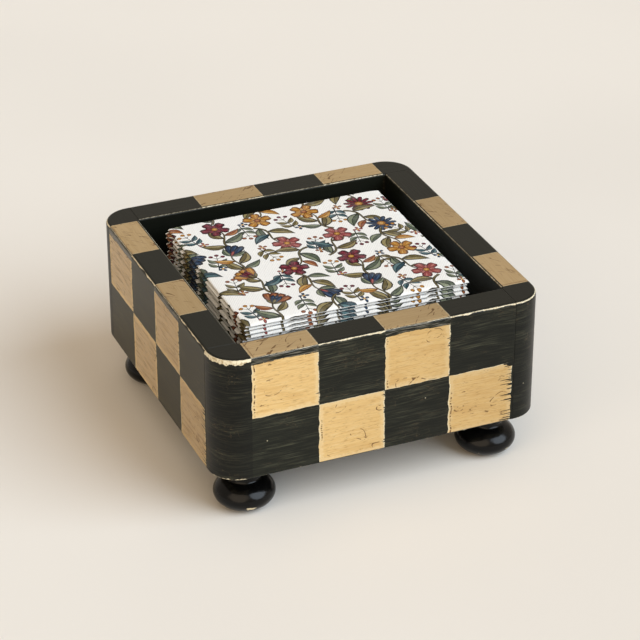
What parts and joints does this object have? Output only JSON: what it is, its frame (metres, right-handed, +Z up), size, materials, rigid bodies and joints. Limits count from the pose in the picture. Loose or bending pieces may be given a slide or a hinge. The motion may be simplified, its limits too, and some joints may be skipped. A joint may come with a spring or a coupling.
{
  "type": "napkin holder",
  "caption": "Open-top square box for folded cocktail napkins, with rounded corners, a painted check pattern and turned bun feet; the napkins lift out.",
  "frame": {"origin": "on the table surface, under the middle of the box", "axes": "+Z up, front towards -Y, +X to the right seen from the front"},
  "size_m": [0.184, 0.184, 0.0989],
  "materials": {
    "painted_wood": "satin",
    "black_panel": "satin",
    "black_lacquer": "gloss",
    "screw_steel": "satin",
    "bare_beech": "matte",
    "napkin_paper": "matte"
  },
  "bodies": {
    "box": {"front_board": "painted_wood", "right_board": "painted_wood", "rear_board": "painted_wood", "left_board": "painted_wood", "base_panel": "black_panel", "foot_front_left": "black_lacquer", "foot_front_right": "black_lacquer", "foot_rear_right": "black_lacquer", "foot_rear_left": "black_lacquer", "foot_screws": "screw_steel", "panel_brads": "screw_steel", "corner_dowels": "bare_beech"},
    "napkin_stack": {"napkin_01": "napkin_paper", "napkin_02": "napkin_paper", "napkin_03": "napkin_paper", "napkin_04": "napkin_paper", "napkin_05": "napkin_paper", "napkin_06": "napkin_paper", "napkin_07": "napkin_paper", "napkin_08": "napkin_paper", "napkin_09": "napkin_paper", "napkin_10": "napkin_paper", "napkin_11": "napkin_paper", "napkin_12": "napkin_paper", "napkin_13": "napkin_paper", "napkin_14": "napkin_paper", "napkin_15": "napkin_paper", "napkin_16": "napkin_paper", "napkin_17": "napkin_paper", "napkin_18": "napkin_paper", "napkin_19": "napkin_paper", "napkin_20": "napkin_paper", "napkin_21": "napkin_paper", "napkin_22": "napkin_paper", "napkin_23": "napkin_paper", "napkin_24": "napkin_paper", "napkin_25": "napkin_paper", "napkin_26": "napkin_paper", "napkin_27": "napkin_paper"},
    "top_napkin": {"napkin_28": "napkin_paper"}
  },
  "joints": [
    {"name": "napkin_stack_lift", "type": "slide", "parent": "box", "child": "napkin_stack", "axis": [0, 0, 1], "range_m": [0, 0.08]},
    {"name": "top_napkin_lift", "type": "slide", "parent": "napkin_stack", "child": "top_napkin", "axis": [0, 0, 1], "range_m": [0, 0.06]}
  ]
}
